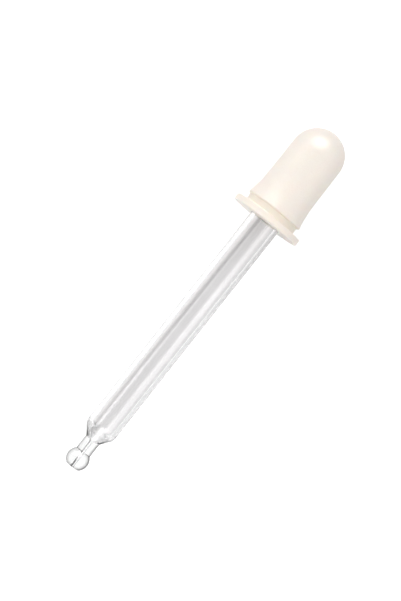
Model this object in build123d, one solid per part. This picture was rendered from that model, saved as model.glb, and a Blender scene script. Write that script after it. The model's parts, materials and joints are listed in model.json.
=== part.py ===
from build123d import *
from math import asin, atan2, cos, degrees, hypot, sin, sqrt, tan
import os

# A dropper pipette: a drawn glass tube with a ball tip, and a rubber bulb stretched over its other end.
# Both pieces are turned about one axis. They are drawn as half sections with x along that axis, from
# the tip towards the bulb, and y as the radius, then laid down as the dropper lies on a bench.
# Lengths are in millimetres.

# Glass tube
tube_length = 76.0           # the whole glass, from the flat of the tip to the gripped end
tube_diameter = 7.0
tube_wall = 1.0
tube_lip_bevel = 0.25        # both edges of the gripped end
grip_length = 12.2           # glass hidden in the bulb
grip_draw = 0.15             # how far that end is drawn in on the radius, so that the bulb pushes on

# Tip of the glass
ball_diameter = 4.9
ball_flat_diameter = 3.1     # the fire-polished end of the ball
ball_flat_round = 0.5
neck_diameter = 3.4
neck_length = 3.2
neck_crease_round = 0.15     # where the neck runs into the ball
shoulder_length = 2.4        # from the neck to the full tube
shoulder_foot_round = 0.6    # at the neck
shoulder_round = 0.9         # at the tube
capillary_diameter = 0.45
mouth_diameter = 1.0         # the capillary opens out at the tip
mouth_depth = 0.9
mouth_round = 0.9            # where the mouth narrows to the capillary
funnel_foot_setback = 0.3    # the funnel meets the capillary this far before the neck's end
funnel_head_setback = 0.8    # and the wide bore this far past the shoulder
funnel_foot_round = 2.0
funnel_head_round = 1.6

# Rubber bulb
bulb_length = 23.1
flange_diameter = 16.0
flange_thickness = 1.4
groove_diameter = 12.0
groove_width = 1.6
skirt_diameter = 13.2
skirt_length = 5.8           # the skirt narrows to the body over this length
body_diameter = 11.75        # where the skirt ends
dome_diameter = 11.6         # the mould's draft makes the dome a little narrower
bulb_edge_break = 0.15       # edges of the flange and the skirt
bulb_mouth_bevel = 0.2       # eased edge of the mouth, beside the glass
bulb_wall = 1.3
bulb_grip = 8.0              # length of the bore that holds the glass
bulb_floor_slope = 1.0       # rise of the hollow's floor, from the bore out to the wall

# Places along the axis and radii that follow from these
tube_radius = tube_diameter / 2
bore_radius = tube_radius - tube_wall
grip_start = tube_length - grip_length
grip_end_radius = tube_radius - grip_draw
ball_radius = ball_diameter / 2
ball_centre = sqrt(ball_radius**2 - (ball_flat_diameter / 2) ** 2)
neck_radius = neck_diameter / 2
neck_start = ball_centre + sqrt(ball_radius**2 - neck_radius**2)
neck_end = neck_start + neck_length
shoulder_end = neck_end + shoulder_length
flange_radius = flange_diameter / 2
skirt_start = grip_start + flange_thickness + groove_width
skirt_end = skirt_start + skirt_length
dome_radius = dome_diameter / 2
dome_centre = grip_start + bulb_length - dome_radius


def grip_radius(x):
    """The radius of the gripped glass at x, which the bulb's bore follows."""
    return tube_radius - grip_draw * (x - grip_start) / grip_length


def corners(section, points):
    """The section's corners at these points."""
    return [section.vertices().sort_by_distance(Vertex(*point))[0] for point in points]


def rounded(section, radius, *points):
    """The section with its corners at these points rounded."""
    return fillet(corners(section, points), radius)


def bevelled(section, setback, *points):
    """The section with its corners at these points cut off."""
    return chamfer(corners(section, points), setback)


def glass_outline():
    """The outside of the glass: the ball with its flat end, the neck, the shoulder and the tube."""
    shank = make_face(
        Polyline(
            (ball_centre, 0),
            (ball_centre, neck_radius),
            (neck_end, neck_radius),
            (shoulder_end, tube_radius),
            (grip_start, tube_radius),
            (tube_length, grip_end_radius),
            (tube_length, 0),
            close=True,
        )
    )
    ball = Pos(ball_centre, 0) * Circle(ball_radius)
    past_the_flat = Pos(-ball_radius, 0) * Rectangle(2 * ball_radius, 2 * ball_radius)
    below_the_axis = Pos(0, -ball_radius) * Rectangle(4 * ball_diameter, 2 * ball_radius)
    outline = shank + (ball - past_the_flat - below_the_axis)
    outline = rounded(outline, ball_flat_round, (0, ball_flat_diameter / 2))
    outline = rounded(outline, neck_crease_round, (neck_start, neck_radius))
    outline = rounded(outline, shoulder_foot_round, (neck_end, neck_radius))
    return rounded(outline, shoulder_round, (shoulder_end, tube_radius))


def glass_bore():
    """The inside of the glass: the mouth, the capillary, the funnel and the wide bore."""
    capillary_radius = capillary_diameter / 2
    mouth_end = (mouth_depth, capillary_radius)
    funnel_foot = (neck_end - funnel_foot_setback, capillary_radius)
    funnel_head = (shoulder_end + funnel_head_setback, bore_radius)
    bore = make_face(
        Polyline(
            (0, 0),
            (0, mouth_diameter / 2),
            mouth_end,
            funnel_foot,
            funnel_head,
            (tube_length, bore_radius),
            (tube_length, 0),
            close=True,
        )
    )
    bore = rounded(bore, mouth_round, mouth_end)
    bore = rounded(bore, funnel_foot_round, funnel_foot)
    return rounded(bore, funnel_head_round, funnel_head)


def glass_tube():
    """The drawn glass tube, with both edges of its gripped end eased."""
    section = glass_outline() - glass_bore()
    lip = [(tube_length, grip_end_radius), (tube_length, bore_radius)]
    return revolve(bevelled(section, tube_lip_bevel, *lip), Axis.X)


def bulb_outline():
    """The outside of the bulb: the flange, the groove, the flared skirt, the body and the dome."""
    flange_top = grip_start + flange_thickness
    groove_radius = groove_diameter / 2
    skirt_edge = (skirt_start, skirt_diameter / 2)
    body_start = (skirt_end, body_diameter / 2)
    dome_edge = (dome_centre, dome_radius)
    draft = Vector(*body_start) - Vector(*dome_edge)
    outline = Polyline(
        (grip_start, 0),
        (grip_start, flange_radius),
        (flange_top, flange_radius),
        (flange_top, groove_radius),
        (skirt_start, groove_radius),
        skirt_edge,
    )
    outline += TangentArc(body_start, skirt_edge, tangent=draft)
    outline += Line(body_start, dome_edge)
    outline += CenterArc((dome_centre, 0), dome_radius, 0, 90)
    outline += Line((dome_centre + dome_radius, 0), (grip_start, 0))
    edges = [(grip_start, flange_radius), (flange_top, flange_radius), skirt_edge]
    return bevelled(make_face(outline), bulb_edge_break, *edges)


def bulb_hollow():
    """The inside of the bulb: the bore that follows the glass, the sloped floor and the domed hollow."""
    hollow_radius = dome_radius - bulb_wall
    grip_end = grip_start + bulb_grip
    outline = Polyline(
        (dome_centre + hollow_radius, 0),
        (grip_start, 0),
        (grip_start, tube_radius),
        (grip_end, grip_radius(grip_end)),
        (grip_end + bulb_floor_slope, hollow_radius),
        (dome_centre, hollow_radius),
    )
    outline += CenterArc((dome_centre, 0), hollow_radius, 0, 90)
    return make_face(outline)


def rubber_bulb():
    """The moulded bulb, with the edge of its mouth eased."""
    section = bulb_outline() - bulb_hollow()
    return revolve(bevelled(section, bulb_mouth_bevel, (grip_start, tube_radius)), Axis.X)


def resting_place():
    """Where the dropper lies, with its flange's edge and its rounded shoulder both on the floor.

    In section the floor passes through the flange's corner and touches the shoulder's round. The
    dropper is also turned a little about its own axis, so that when its round faces are meshed
    from their seam in 48 facets, it lies on a facet and not on the edge between two.
    """
    shoulder_angle = atan2(tube_radius - neck_radius, shoulder_length)
    shoulder_x = shoulder_end + shoulder_round * tan(shoulder_angle / 2)
    shoulder_depth = tube_radius - shoulder_round
    run = grip_start + bulb_edge_break - shoulder_x
    drop = flange_radius - shoulder_depth
    tilt = atan2(drop, run) - asin(shoulder_round / hypot(run, drop))
    height = shoulder_round + shoulder_depth * cos(tilt) - shoulder_x * sin(tilt)
    half_facet = 360 / 48 / 2
    return Pos(0, 0, height) * Rot(0, -degrees(tilt), 0) * Rot(-half_facet, 0, 0)


def main():
    """Lays both pieces down, with the origin on the floor under the middle of the whole dropper."""
    pieces = {"glass_tube": glass_tube(), "rubber_bulb": rubber_bulb()}
    laid = {name: resting_place() * piece for name, piece in pieces.items()}
    middle = Compound(list(laid.values())).bounding_box().center()
    os.makedirs("parts", exist_ok=True)
    for name, piece in laid.items():
        export_step(Pos(-middle.X, -middle.Y, 0) * piece, f"parts/{name}.step")


main()
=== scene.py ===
import json
import math
from collections import namedtuple

import bmesh
import bpy
from mathutils import Matrix, Vector


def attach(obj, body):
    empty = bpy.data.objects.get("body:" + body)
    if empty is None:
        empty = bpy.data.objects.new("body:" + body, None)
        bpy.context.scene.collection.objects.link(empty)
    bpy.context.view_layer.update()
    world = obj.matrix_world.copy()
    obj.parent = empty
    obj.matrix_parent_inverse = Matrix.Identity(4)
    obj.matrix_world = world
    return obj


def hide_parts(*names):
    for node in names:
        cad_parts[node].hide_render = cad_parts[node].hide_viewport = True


# A dropper pipette: a drawn glass tube with a ball tip, and a cream rubber bulb stretched over its end.
# Both pieces are drawn as half sections in millimetres, with x along the dropper's axis from the bulb's
# mouth towards its dome and y as the radius. They are then turned, and laid where the frame's pieces lie.

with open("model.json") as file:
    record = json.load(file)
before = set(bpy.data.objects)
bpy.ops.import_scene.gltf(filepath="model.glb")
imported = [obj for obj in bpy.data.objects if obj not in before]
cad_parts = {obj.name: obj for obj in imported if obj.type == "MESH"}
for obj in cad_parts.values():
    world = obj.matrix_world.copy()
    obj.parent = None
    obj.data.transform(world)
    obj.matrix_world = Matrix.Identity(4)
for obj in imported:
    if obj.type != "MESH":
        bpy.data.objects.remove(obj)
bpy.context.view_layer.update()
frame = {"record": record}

MM = 0.001
ROUND_STEPS = 320        # facets round each piece
ARC_STEP = math.radians(5)  # turn of each facet of an arc or a rounded corner
MERGE_DISTANCE = 1e-5

mounts = {mount["name"]: mount for mount in frame["record"]["mounts"]}
seat = mounts["flange_seat"]
shank = mounts["tube_shank"]["dims"]
groove = mounts["bulb_groove"]["dims"]

# Where the dropper lies: the middle of the bulb's mouth, and the directions along it, to its left and up
MOUTH_MIDDLE = Vector(seat["pos_m"])
ALONG = -Vector(seat["axis"]).normalized()
LEFT = Vector((0, 1, 0))
ABOVE = ALONG.cross(LEFT)

# Glass tube, in millimetres from the bulb's mouth; the tip is at minus x
TUBE_RADIUS = shank["r_mm"]
TUBE_WALL = 1.0
BORE_RADIUS = TUBE_RADIUS - TUBE_WALL
GRIP_LENGTH = 12.2
GRIP_DRAW = 0.15         # how far the gripped end is drawn in on the radius
GRIP_RADIUS = TUBE_RADIUS - GRIP_DRAW
LIP_ROUND = 0.3
TIP = -63.8
BALL_RADIUS = 2.45
BALL_FLAT_RADIUS = 1.55
BALL_FLAT_ROUND = 0.5
BALL_CENTRE = TIP + math.sqrt(BALL_RADIUS**2 - BALL_FLAT_RADIUS**2)
NECK_RADIUS = 1.7
NECK_LENGTH = 3.2
NECK_CREASE_ROUND = 0.15
NECK_START = BALL_CENTRE + math.sqrt(BALL_RADIUS**2 - NECK_RADIUS**2)
NECK_END = NECK_START + NECK_LENGTH
SHOULDER_LENGTH = 2.4
SHOULDER_FOOT_ROUND = 0.6
SHOULDER_ROUND = 0.9
SHOULDER_END = NECK_END + SHOULDER_LENGTH
CAPILLARY_RADIUS = 0.225
MOUTH_RADIUS = 0.5
MOUTH_EDGE_ROUND = 0.1
MOUTH_DEPTH = 0.9
MOUTH_ROUND = 0.9
FUNNEL_FOOT = NECK_END - 0.3
FUNNEL_FOOT_ROUND = 2.0
FUNNEL_HEAD = SHOULDER_END + 0.8
FUNNEL_HEAD_ROUND = 1.6

# Rubber bulb
BULB_LENGTH = 23.1
BULB_WALL = 1.3
FLANGE_RADIUS = 8.0
FLANGE_TOP = 1.4
FLANGE_ROUND = 0.2
GROOVE_RADIUS = groove["r_mm"]
GROOVE_FOOT_ROUND = 0.3
GROOVE_HEAD_ROUND = 0.25
SKIRT_START = FLANGE_TOP + groove["length_mm"]
SKIRT_RADIUS = 6.6
SKIRT_LENGTH = 5.8
SKIRT_ROUND = 0.3
BODY_RADIUS = 5.875
DOME_RADIUS = 5.8
DOME_CENTRE = BULB_LENGTH - DOME_RADIUS
BULB_GRIP = 8.0          # how far in from its mouth the bulb holds the glass
BULB_MOUTH_ROUND = 0.25
HOLLOW_START = 9.0
HOLLOW_RADIUS = DOME_RADIUS - BULB_WALL
AIR_FILM = 0.02          # between the glass and the rubber

# Greys of the glass, painted as shade and dark outlines, and creams and tans of the rubber, with painted
# shade in its groove and painted light at the glass
CLEAR = (0.99, 0.99, 0.99, 1)
SHADE_BAND_GREY = (0.70, 0.69, 0.695, 1)
PALE_SHADE_BAND_GREY = (0.95, 0.94, 0.945, 1)
SHADE_STREAK_GREY = (0.40, 0.39, 0.395, 1)
PAINTED_EDGE_GREY = (0.1, 0.1, 0.1, 1)
CREAM = (0.875, 0.812, 0.752, 1)
LIGHT_CREAM = (0.89, 0.828, 0.762, 1)
GRAIN_TAN = (0.852, 0.772, 0.697, 1)
GROOVE_SHADE_CREAM = (0.86, 0.82, 0.70, 1)
PAINTED_LIGHT_CREAM = (0.97, 0.93, 0.87, 1)

# Places on the glass where its painted greys change
MID_WALL = (BORE_RADIUS + TUBE_RADIUS) / 2
FADE_START = -50         # the bands change slowly from here to the bulb's mouth

# Floor, sky and camera
FLOOR_REACH = 1.5        # metres from the middle of the floor to its edges
FLOOR_WHITE = (0.8, 0.8, 0.8, 1)
FLOOR_SHADE = (0.54, 0.54, 0.54, 1)
SKY_LIGHT = 0.73
VIEW_DISTANCE = 350      # millimetres, as the next three are
VIEW_HEIGHT = 123.3833   # from the view's foot to its top, at the dropper
VIEW_ALONG = -20.8       # the view's middle, from the bulb's mouth
VIEW_LEFT = 0.36
VIEW_LEAN = math.radians(0.3)
VIEW_TURN = math.radians(51.7)
SENSOR_SIZE = 36
NEAR_LIMIT = 10


def lying():
    """The matrix that lays a piece drawn along x where the frame's pieces lie."""
    turn = Matrix((ALONG, LEFT, ABOVE)).transposed().to_4x4()
    return Matrix.Translation(MOUTH_MIDDLE) @ turn @ Matrix.Scale(MM, 4)


class HalfSection:
    """A wire in the XY plane that is drawn run by run and then turned about x."""

    def __init__(self, x, y, radius=0):
        self.mesh = bmesh.new()
        self.start = self.mesh.verts.new((x, y, 0))
        self.end = self.start
        self.corners = [(self.start, radius)] if radius else []

    def to(self, x, y, radius=0):
        """A straight run to x, y, where the corner has this radius."""
        corner = self.mesh.verts.new((x, y, 0))
        self.mesh.edges.new((self.end, corner))
        self.end = corner
        if radius:
            self.corners.append((corner, radius))

    def arc(self, centre_x, centre_y, angle, radius=0):
        """An arc about a centre, from the last point, through this angle in radians."""
        steps = max(2, round(abs(angle) / ARC_STEP))
        spun = bmesh.ops.spin(
            self.mesh,
            geom=[self.end],
            cent=(centre_x, centre_y, 0),
            axis=(0, 0, 1),
            angle=angle,
            steps=steps,
        )
        self.end = next(item for item in spun["geom_last"] if isinstance(item, bmesh.types.BMVert))
        if radius:
            self.corners.append((self.end, radius))

    def close(self):
        """A straight run back to the first point."""
        self.mesh.edges.new((self.end, self.start))

    def round_corners(self):
        """Rounds each corner that was given a radius."""
        for corner, radius in self.corners:
            ways = [edge.other_vert(corner).co - corner.co for edge in corner.link_edges]
            half_turn = (math.pi - ways[0].angle(ways[1])) / 2
            bmesh.ops.bevel(
                self.mesh,
                geom=[corner],
                offset=radius * math.tan(half_turn),
                offset_type="OFFSET",
                segments=max(2, round(2 * half_turn / ARC_STEP)),
                profile=0.5,
                affect="VERTICES",
                material=-1,
            )

    def turned(self, name):
        """The wire turned about x and laid in place, as a new object."""
        self.round_corners()
        bmesh.ops.spin(
            self.mesh,
            geom=self.mesh.verts[:] + self.mesh.edges[:],
            cent=(0, 0, 0),
            axis=(1, 0, 0),
            angle=2 * math.pi,
            steps=ROUND_STEPS,
            use_merge=True,
        )
        bmesh.ops.remove_doubles(self.mesh, verts=self.mesh.verts[:], dist=MERGE_DISTANCE)
        bmesh.ops.recalc_face_normals(self.mesh, faces=self.mesh.faces[:])
        bmesh.ops.transform(self.mesh, matrix=lying(), verts=self.mesh.verts[:])
        for face in self.mesh.faces:
            face.smooth = True
        shape = bpy.data.meshes.new(name)
        self.mesh.to_mesh(shape)
        self.mesh.free()
        piece = bpy.data.objects.new(name, shape)
        bpy.context.scene.collection.objects.link(piece)
        return piece


def drawn_glass():
    """The tube, its conical shoulder, the thick neck and the ball, with the bore right through."""
    flat_angle = math.asin(BALL_FLAT_RADIUS / BALL_RADIUS)
    neck_angle = math.asin(NECK_RADIUS / BALL_RADIUS)
    section = HalfSection(TIP, MOUTH_RADIUS, MOUTH_EDGE_ROUND)
    section.to(TIP, BALL_FLAT_RADIUS, BALL_FLAT_ROUND)
    section.arc(BALL_CENTRE, 0, -(math.pi - flat_angle - neck_angle), NECK_CREASE_ROUND)
    section.to(NECK_END, NECK_RADIUS, SHOULDER_FOOT_ROUND)
    section.to(SHOULDER_END, TUBE_RADIUS, SHOULDER_ROUND)
    section.to(0, TUBE_RADIUS)
    section.to(GRIP_LENGTH, GRIP_RADIUS, LIP_ROUND)
    section.to(GRIP_LENGTH, BORE_RADIUS, LIP_ROUND)
    section.to(FUNNEL_HEAD, BORE_RADIUS, FUNNEL_HEAD_ROUND)
    section.to(FUNNEL_FOOT, CAPILLARY_RADIUS, FUNNEL_FOOT_ROUND)
    section.to(TIP + MOUTH_DEPTH, CAPILLARY_RADIUS, MOUTH_ROUND)
    section.close()
    return section.turned("glass_dropper")


def moulded_bulb():
    """The bulb, its flange, groove and flared skirt outside, and its grip and hollow inside."""
    rise = SKIRT_RADIUS - BODY_RADIUS
    flare = (SKIRT_LENGTH**2 + rise**2) / (2 * rise)
    section = HalfSection(DOME_CENTRE + HOLLOW_RADIUS, 0)
    section.arc(DOME_CENTRE, 0, math.pi / 2)
    section.to(HOLLOW_START, HOLLOW_RADIUS)
    section.to(BULB_GRIP, TUBE_RADIUS + AIR_FILM)
    section.to(0, TUBE_RADIUS + AIR_FILM, BULB_MOUTH_ROUND)
    section.to(0, FLANGE_RADIUS, FLANGE_ROUND)
    section.to(FLANGE_TOP, FLANGE_RADIUS, FLANGE_ROUND)
    section.to(FLANGE_TOP, GROOVE_RADIUS, GROOVE_FOOT_ROUND)
    section.to(SKIRT_START, GROOVE_RADIUS, GROOVE_HEAD_ROUND)
    section.to(SKIRT_START, SKIRT_RADIUS, SKIRT_ROUND)
    section.arc(SKIRT_START + SKIRT_LENGTH, BODY_RADIUS + flare, math.asin(SKIRT_LENGTH / flare))
    section.to(DOME_CENTRE, DOME_RADIUS)
    section.arc(DOME_CENTRE, 0, -math.pi / 2)
    return section.turned("rubber_teat")


class Socket:
    """A shader value that Python's operators work on."""

    def __init__(self, paint, link):
        self.paint = paint
        self.link = link

    def maths(self, operation, *others):
        """A Math node of this operation on the value and any others."""
        return self.paint.node("ShaderNodeMath", {"operation": operation}, [self, *others])["Value"]

    def __add__(self, other):
        return self.maths("ADD", other)

    def __mul__(self, other):
        return self.maths("MULTIPLY", other)

    def __sub__(self, other):
        return self.maths("SUBTRACT", other)

    __radd__ = __add__
    __rmul__ = __mul__

    def __rsub__(self, other):
        return (self * -1) + other

    def ramp(self, low, high, at_low=0, at_high=1):
        """A smooth step from one value at low to another at high."""
        settings = {"interpolation_type": "SMOOTHSTEP"}
        return self.paint.node("ShaderNodeMapRange", settings, [self, low, high, at_low, at_high])["Result"]


class Paint:
    """A material, or the world, whose nodes are all made by one method."""

    def __init__(self, owner):
        owner.use_nodes = True
        self.tree = owner.node_tree
        self.tree.nodes.clear()

    def node(self, kind, settings=None, values=None):
        """A node with its settings and its sockets' values or links; gives its outputs by name."""
        node = self.tree.nodes.new(kind)
        for key, value in (settings or {}).items():
            setattr(node, key, value)
        pairs = values.items() if isinstance(values, dict) else enumerate(values or [])
        for key, value in pairs:
            if isinstance(value, Socket):
                self.tree.links.new(value.link, node.inputs[key])
            else:
                node.inputs[key].default_value = value
        return {output.name: Socket(self, output) for output in node.outputs if output.enabled}


# A Mix node has sockets of the same names for numbers and for colours, so its colours go by number
MIX_SHARE = 0
MIX_FIRST = 6
MIX_SECOND = 7


def material(name):
    """An empty material and its paint."""
    made = bpy.data.materials.new(name)
    return made, Paint(made)


# A point of the dropper, in millimetres from the middle of the bulb's mouth: along it, to its left,
# off its axis, and all three directions together
Place = namedtuple("Place", "along left off_axis position")


def place_on_dropper(paint):
    """The point that is shaded, as shader values."""
    middle, turn, size = lying().decompose()
    values = [paint.node("ShaderNodeTexCoord")["Object"], middle, turn.to_euler(), size]
    position = paint.node("ShaderNodeMapping", {"vector_type": "TEXTURE"}, values)["Vector"]
    parts = paint.node("ShaderNodeSeparateXYZ", values=[position])
    across = stretched(paint, position, (0, 1, 1))
    off_axis = paint.node("ShaderNodeVectorMath", {"operation": "LENGTH"}, [across])["Value"]
    return Place(parts["X"], parts["Y"], off_axis, position)


def stretched(paint, position, scale):
    """A position times a scale in each direction."""
    return paint.node("ShaderNodeVectorMath", {"operation": "MULTIPLY"}, [position, scale])["Vector"]


def blend(paint, share, first, second):
    """A colour between two, with this share of the second."""
    values = {MIX_SHARE: share, MIX_FIRST: first, MIX_SECOND: second}
    return paint.node("ShaderNodeMix", {"data_type": "RGBA"}, values)["Result"]


def noise(paint, position, scale, detail):
    """Noise from 0 to 1, with this many lumps to a millimetre."""
    values = {"Vector": position, "Scale": scale, "Detail": detail}
    return paint.node("ShaderNodeTexNoise", values=values)["Fac"]


def glass_painted_shade(paint, at):
    """Painted shade: soft grey bands and a darker streak on the bore's wall, and a grey right side near the
    bulb.
    """
    streak = (at.left - at.along.ramp(FADE_START, 0, 1.62, 1.22)).maths("ABSOLUTE").ramp(0.45, 0.05)
    right = at.left.ramp(-0.6, -1.7) * at.along.ramp(FADE_START, 0, 0.3, 0.95)
    pale = right.maths("MAXIMUM", at.left.ramp(1.7, 2.4, 0, 0.6))
    band = blend(paint, pale, SHADE_BAND_GREY, PALE_SHADE_BAND_GREY)
    band = blend(paint, streak * at.along.ramp(FADE_START, -5, 0.5, 0.8), band, SHADE_STREAK_GREY)
    right_edge = at.left.ramp(-1.9, -2.3) * at.along.ramp(FADE_START, 0, 0, 0.5)
    elsewhere = blend(paint, right_edge, CLEAR, SHADE_BAND_GREY)
    in_tube = at.along.ramp(NECK_END, SHOULDER_END + 1) * at.along.ramp(0.5, -0.5)
    bore_wall = at.off_axis.ramp(MID_WALL, MID_WALL - 0.2) * in_tube
    return blend(paint, bore_wall, elsewhere, band)


def glass_painted_darkness(paint, at, tip):
    """Where dark shade and dark reflections are painted on the glass: its outlines, lines along its
    capillary, a mark at its mouth, and a faint grey and a mottled patch on its left.
    """
    facing = paint.node("ShaderNodeLayerWeight", values={"Blend": 0.5})["Facing"]
    shoulder = at.along.ramp(SHOULDER_END + 0.5, SHOULDER_END - 0.5) * (1 - tip)
    # Painted dark reflections: outlines at the edges of the tip and the shoulder
    outline = facing.ramp(0.15, 0.8) * (tip * at.left.ramp(1.8, 0.6, 0.6, 0.9) + shoulder * 0.3)
    # Painted shade: a faint grey over the left of the tip
    tip_left_shade = tip * at.left.ramp(-1.0, 0.2, 0, 0.06)
    # Painted dark reflections along the tube's outer edges
    tube_edge = facing.ramp(0.55, 1.0, 0, 0.3) * at.off_axis.ramp(MID_WALL + 0.1, MID_WALL + 0.3) * (1 - tip)
    capillary = at.off_axis.ramp(0.4, 0.25)
    # Painted shade: dark lines along the capillary, a dark mark at the mouth, and a mottled grey patch on
    # the shoulder's left
    capillary_lines = facing.ramp(0.15, 0.6) * capillary * at.left.ramp(-0.12, 0.04, 0.5, 1.5)
    mouth = at.along.ramp(TIP + 1.9, TIP + 1.1) * at.off_axis.ramp(0.9, 0.7) * at.left.ramp(-0.05, 0.1)
    patch = at.along.ramp(SHOULDER_END + 1.2, SHOULDER_END + 0.4) * at.along.ramp(NECK_END, NECK_END + 0.8)
    patch = patch * at.left.ramp(0.2, 0.9) * at.off_axis.ramp(MID_WALL, MID_WALL - 0.2)
    mottle = noise(paint, at.position, 1.5, 3).ramp(0.42, 0.58, 0.02, 0.26)
    outside = (outline + tip_left_shade) * (1 - capillary) + tube_edge
    return outside + capillary_lines + mouth * 1.2 + patch * mottle


def clear_glass():
    """Clear drawn glass with faint waves along it, painted grey bands of shade, and a tip with painted dark
    outlines.
    """
    made, paint = material("clear_drawn_glass")
    at = place_on_dropper(paint)
    streaks = noise(paint, stretched(paint, at.position, (0.06, 1, 1)), 0.8, 2)
    smears = noise(paint, at.position, 0.35, 4)
    waves = paint.node(
        "ShaderNodeBump",
        values={"Strength": 0.12, "Distance": 0.02 * MM, "Height": streaks},
    )
    glass = paint.node(
        "ShaderNodeBsdfPrincipled",
        values={
            "Base Color": glass_painted_shade(paint, at),
            "Roughness": smears.ramp(0.5, 0.8, 0, 0.03),
            "IOR": 1.5,
            "Transmission Weight": 1.0,
            "Normal": waves["Normal"],
        },
    )
    # A dark shader, mixed in where the dark outlines and shade marks are painted
    dark = paint.node("ShaderNodeBsdfPrincipled", values={"Base Color": PAINTED_EDGE_GREY, "Roughness": 0.6})
    tip = at.along.ramp(NECK_END + 0.5, NECK_END - 0.5)
    darkness = glass_painted_darkness(paint, at, tip)
    edged = paint.node("ShaderNodeMixShader", values=[darkness, glass["BSDF"], dark["BSDF"]])

    # Most of the light passes straight through, so that the clear glass casts only a faint shadow
    rays = paint.node("ShaderNodeLightPath")
    lighting = rays["Is Shadow Ray"].maths("MAXIMUM", rays["Is Diffuse Ray"])
    let_through = lighting * tip.ramp(0, 1, 0.76, 0.97)
    clear = paint.node("ShaderNodeBsdfTransparent", values={"Color": (1, 1, 1, 1)})
    surface = paint.node("ShaderNodeMixShader", values=[let_through, edged["Shader"], clear["BSDF"]])
    paint.node("ShaderNodeOutputMaterial", values={"Surface": surface["Shader"]})
    return made


def cream_rubber():
    """Cream moulded rubber, fine grained and faintly clouded, with painted shade that makes its groove
    yellower and painted light that makes it paler at the glass.
    """
    made, paint = material("cream_rubber")
    at = place_on_dropper(paint)
    cloud = noise(paint, at.position, 0.45, 3)
    grain = noise(paint, at.position, 5.0, 4)
    colour = blend(paint, cloud.ramp(0.35, 0.65), CREAM, LIGHT_CREAM)
    colour = blend(paint, grain.ramp(0.35, 0.75) * 0.8, colour, GRAIN_TAN)
    past_flange = at.along.ramp(FLANGE_TOP - 0.2, FLANGE_TOP)
    before_skirt = at.along.ramp(SKIRT_START + 0.1, SKIRT_START - 0.2)
    # Painted shade: a yellower cream in the groove, for the warm shade that falls there
    in_groove = past_flange * before_skirt * at.off_axis.ramp(SKIRT_RADIUS, GROOVE_RADIUS)
    colour = blend(paint, in_groove * 0.5, colour, GROOVE_SHADE_CREAM)
    # Painted light: paler rubber where it holds the glass and round the tube at the flange, where it lies in
    # shade
    painted_light_at_glass = at.off_axis.ramp(4.4, 3.9) * at.along.ramp(12, 9)
    colour = blend(paint, painted_light_at_glass * 0.7, colour, PAINTED_LIGHT_CREAM)
    bump = paint.node(
        "ShaderNodeBump",
        values={"Strength": 0.35, "Distance": 0.03 * MM, "Height": grain + cloud * 0.5},
    )
    shader = paint.node(
        "ShaderNodeBsdfPrincipled",
        values={
            "Base Color": colour,
            "Roughness": cloud.ramp(0.3, 0.7, 0.27, 0.35) + grain * 0.05,
            "Specular IOR Level": 0.3,
            "Subsurface Weight": 0.35,
            "Subsurface Radius": (1.0, 0.55, 0.3),
            "Subsurface Scale": 1.5 * MM,
            "Normal": bump["Normal"],
        },
    )
    paint.node("ShaderNodeOutputMaterial", values={"Surface": shader["BSDF"]})
    return made


def seen_white(paint, straight, through):
    """What is added to a surface so that it looks white: straight to the camera, and through glass."""
    rays = paint.node("ShaderNodeLightPath")
    either = rays["Is Glossy Ray"].maths("MAXIMUM", rays["Is Transmission Ray"])
    return rays["Is Camera Ray"] * straight + either * through


def floor():
    """A wide pale floor that looks white and keeps the dropper's shadow.

    A painted shadow, a shaded strip, runs beside the dropper on its right, for the glass to bend into its
    bands.
    """
    shape = bmesh.new()
    bmesh.ops.create_grid(shape, x_segments=1, y_segments=1, size=FLOOR_REACH)
    mesh = bpy.data.meshes.new("floor")
    shape.to_mesh(mesh)
    shape.free()
    plane = bpy.data.objects.new("floor", mesh)
    bpy.context.scene.collection.objects.link(plane)
    made, paint = material("pale_floor")
    beside = paint.node("ShaderNodeSeparateXYZ", values=[paint.node("ShaderNodeTexCoord")["Object"]])["Y"]
    # The painted shadow strip, which the camera's lift hides and the glass shows
    shaded = beside.ramp(-2.3 * MM, -4.3 * MM) * beside.ramp(-14 * MM, -8 * MM)
    pale = blend(paint, shaded, FLOOR_WHITE, FLOOR_SHADE)
    lift = seen_white(paint, 0.5 + shaded * 0.25, 0.25)
    lit = paint.node("ShaderNodeBsdfDiffuse", values={"Color": pale})
    glow = paint.node("ShaderNodeEmission", values={"Strength": lift})
    both = paint.node("ShaderNodeAddShader", values=[lit["BSDF"], glow["Emission"]])
    paint.node("ShaderNodeOutputMaterial", values={"Surface": both["Shader"]})
    mesh.materials.append(made)


def toward(tilt, azimuth):
    """A direction from the object: degrees off straight up, and degrees round from plus x."""
    tilt, azimuth = math.radians(tilt), math.radians(azimuth)
    return math.sin(tilt) * math.cos(azimuth), math.sin(tilt) * math.sin(azimuth), math.cos(tilt)


def soft_lamp(paint, sky, direction, core, edge):
    """A round lamp in the sky: 1 within core degrees of the direction, and 0 past edge degrees."""
    facing = paint.node("ShaderNodeVectorMath", {"operation": "DOT_PRODUCT"}, [sky, direction])["Value"]
    return facing.ramp(math.cos(math.radians(edge)), math.cos(math.radians(core)))


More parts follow.
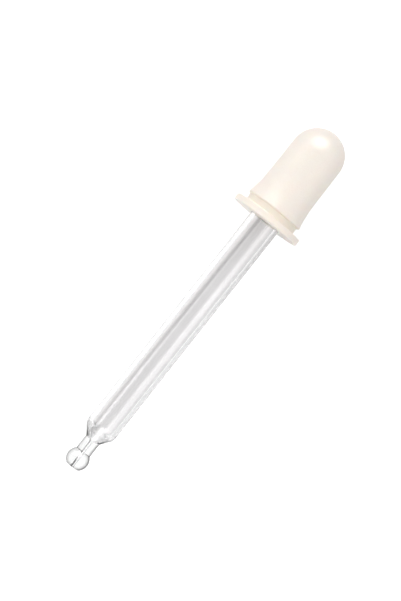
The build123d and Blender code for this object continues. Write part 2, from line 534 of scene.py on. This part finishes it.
def studio():
    """Plain soft light from a pale sky with three broad lamps.

    Mirror reflections see a plain white sky with other lamps: one for the highlight on the dome, one
    for the body, two for thin lines along the tube, a broad card on the right and a dark flag on the left.
    """
    world = bpy.data.worlds.new("studio")
    bpy.context.scene.world = world
    paint = Paint(world)
    sky = paint.node("ShaderNodeTexCoord")["Generated"]
    rays = paint.node("ShaderNodeLightPath")

    key = soft_lamp(paint, sky, toward(60, 18), 14, 30)
    overhead = soft_lamp(paint, sky, toward(26, 85), 8, 32)
    wash = soft_lamp(paint, sky, toward(72, 180), 20, 60)
    light = key * 0.95 + overhead * 1.35 + wash * 0.4 + SKY_LIGHT

    dome_shine = soft_lamp(paint, sky, toward(50, 25), 15, 31)
    body_shine = soft_lamp(paint, sky, toward(60, 64), 5, 26)
    left_line = soft_lamp(paint, sky, toward(44, 110), 3, 9)
    right_line = soft_lamp(paint, sky, toward(38, -105), 3, 10)
    card = soft_lamp(paint, sky, toward(50, -90), 15, 45)
    flag = soft_lamp(paint, sky, toward(35, 90), 12, 38)
    shine = dome_shine * 16.0 + body_shine * 4.0
    mirrored = 1 - flag + card * 1.6 + left_line * 5.0 + right_line * 2.0 + shine

    strength = light + (mirrored - light) * rays["Is Glossy Ray"]
    strength = strength + (1 - strength) * rays["Is Camera Ray"]
    backdrop = paint.node("ShaderNodeBackground", values={"Color": (1, 1, 1, 1), "Strength": strength})
    paint.node("ShaderNodeOutputWorld", values={"Surface": backdrop["Background"]})


def camera():
    """The camera, over the middle of the dropper, with the bulb at the upper right."""
    middle = MOUTH_MIDDLE + ALONG * VIEW_ALONG * MM + LEFT * VIEW_LEFT * MM
    back = ABOVE * math.cos(VIEW_LEAN) - ALONG * math.sin(VIEW_LEAN)
    flat = (ALONG - back * ALONG.dot(back)).normalized()
    right = flat * math.cos(VIEW_TURN) - LEFT * math.sin(VIEW_TURN)
    up = flat * math.sin(VIEW_TURN) + LEFT * math.cos(VIEW_TURN)
    data = bpy.data.cameras.new("camera")
    data.sensor_width = SENSOR_SIZE
    data.lens = SENSOR_SIZE * VIEW_DISTANCE / VIEW_HEIGHT
    data.clip_start = NEAR_LIMIT * MM
    eye = bpy.data.objects.new("camera", data)
    turn = Matrix((right, up, back)).transposed().to_4x4()
    eye.matrix_world = Matrix.Translation(middle + back * VIEW_DISTANCE * MM) @ turn
    bpy.context.scene.collection.objects.link(eye)
    bpy.context.scene.camera = eye


glass = drawn_glass()
glass.data.materials.append(clear_glass())
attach(glass, "root")
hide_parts("glass_tube")

bulb = moulded_bulb()
bulb.data.materials.append(cream_rubber())
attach(bulb, "root")
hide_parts("rubber_bulb")

floor()
studio()
camera()
bpy.context.scene.view_settings.view_transform = "Standard"
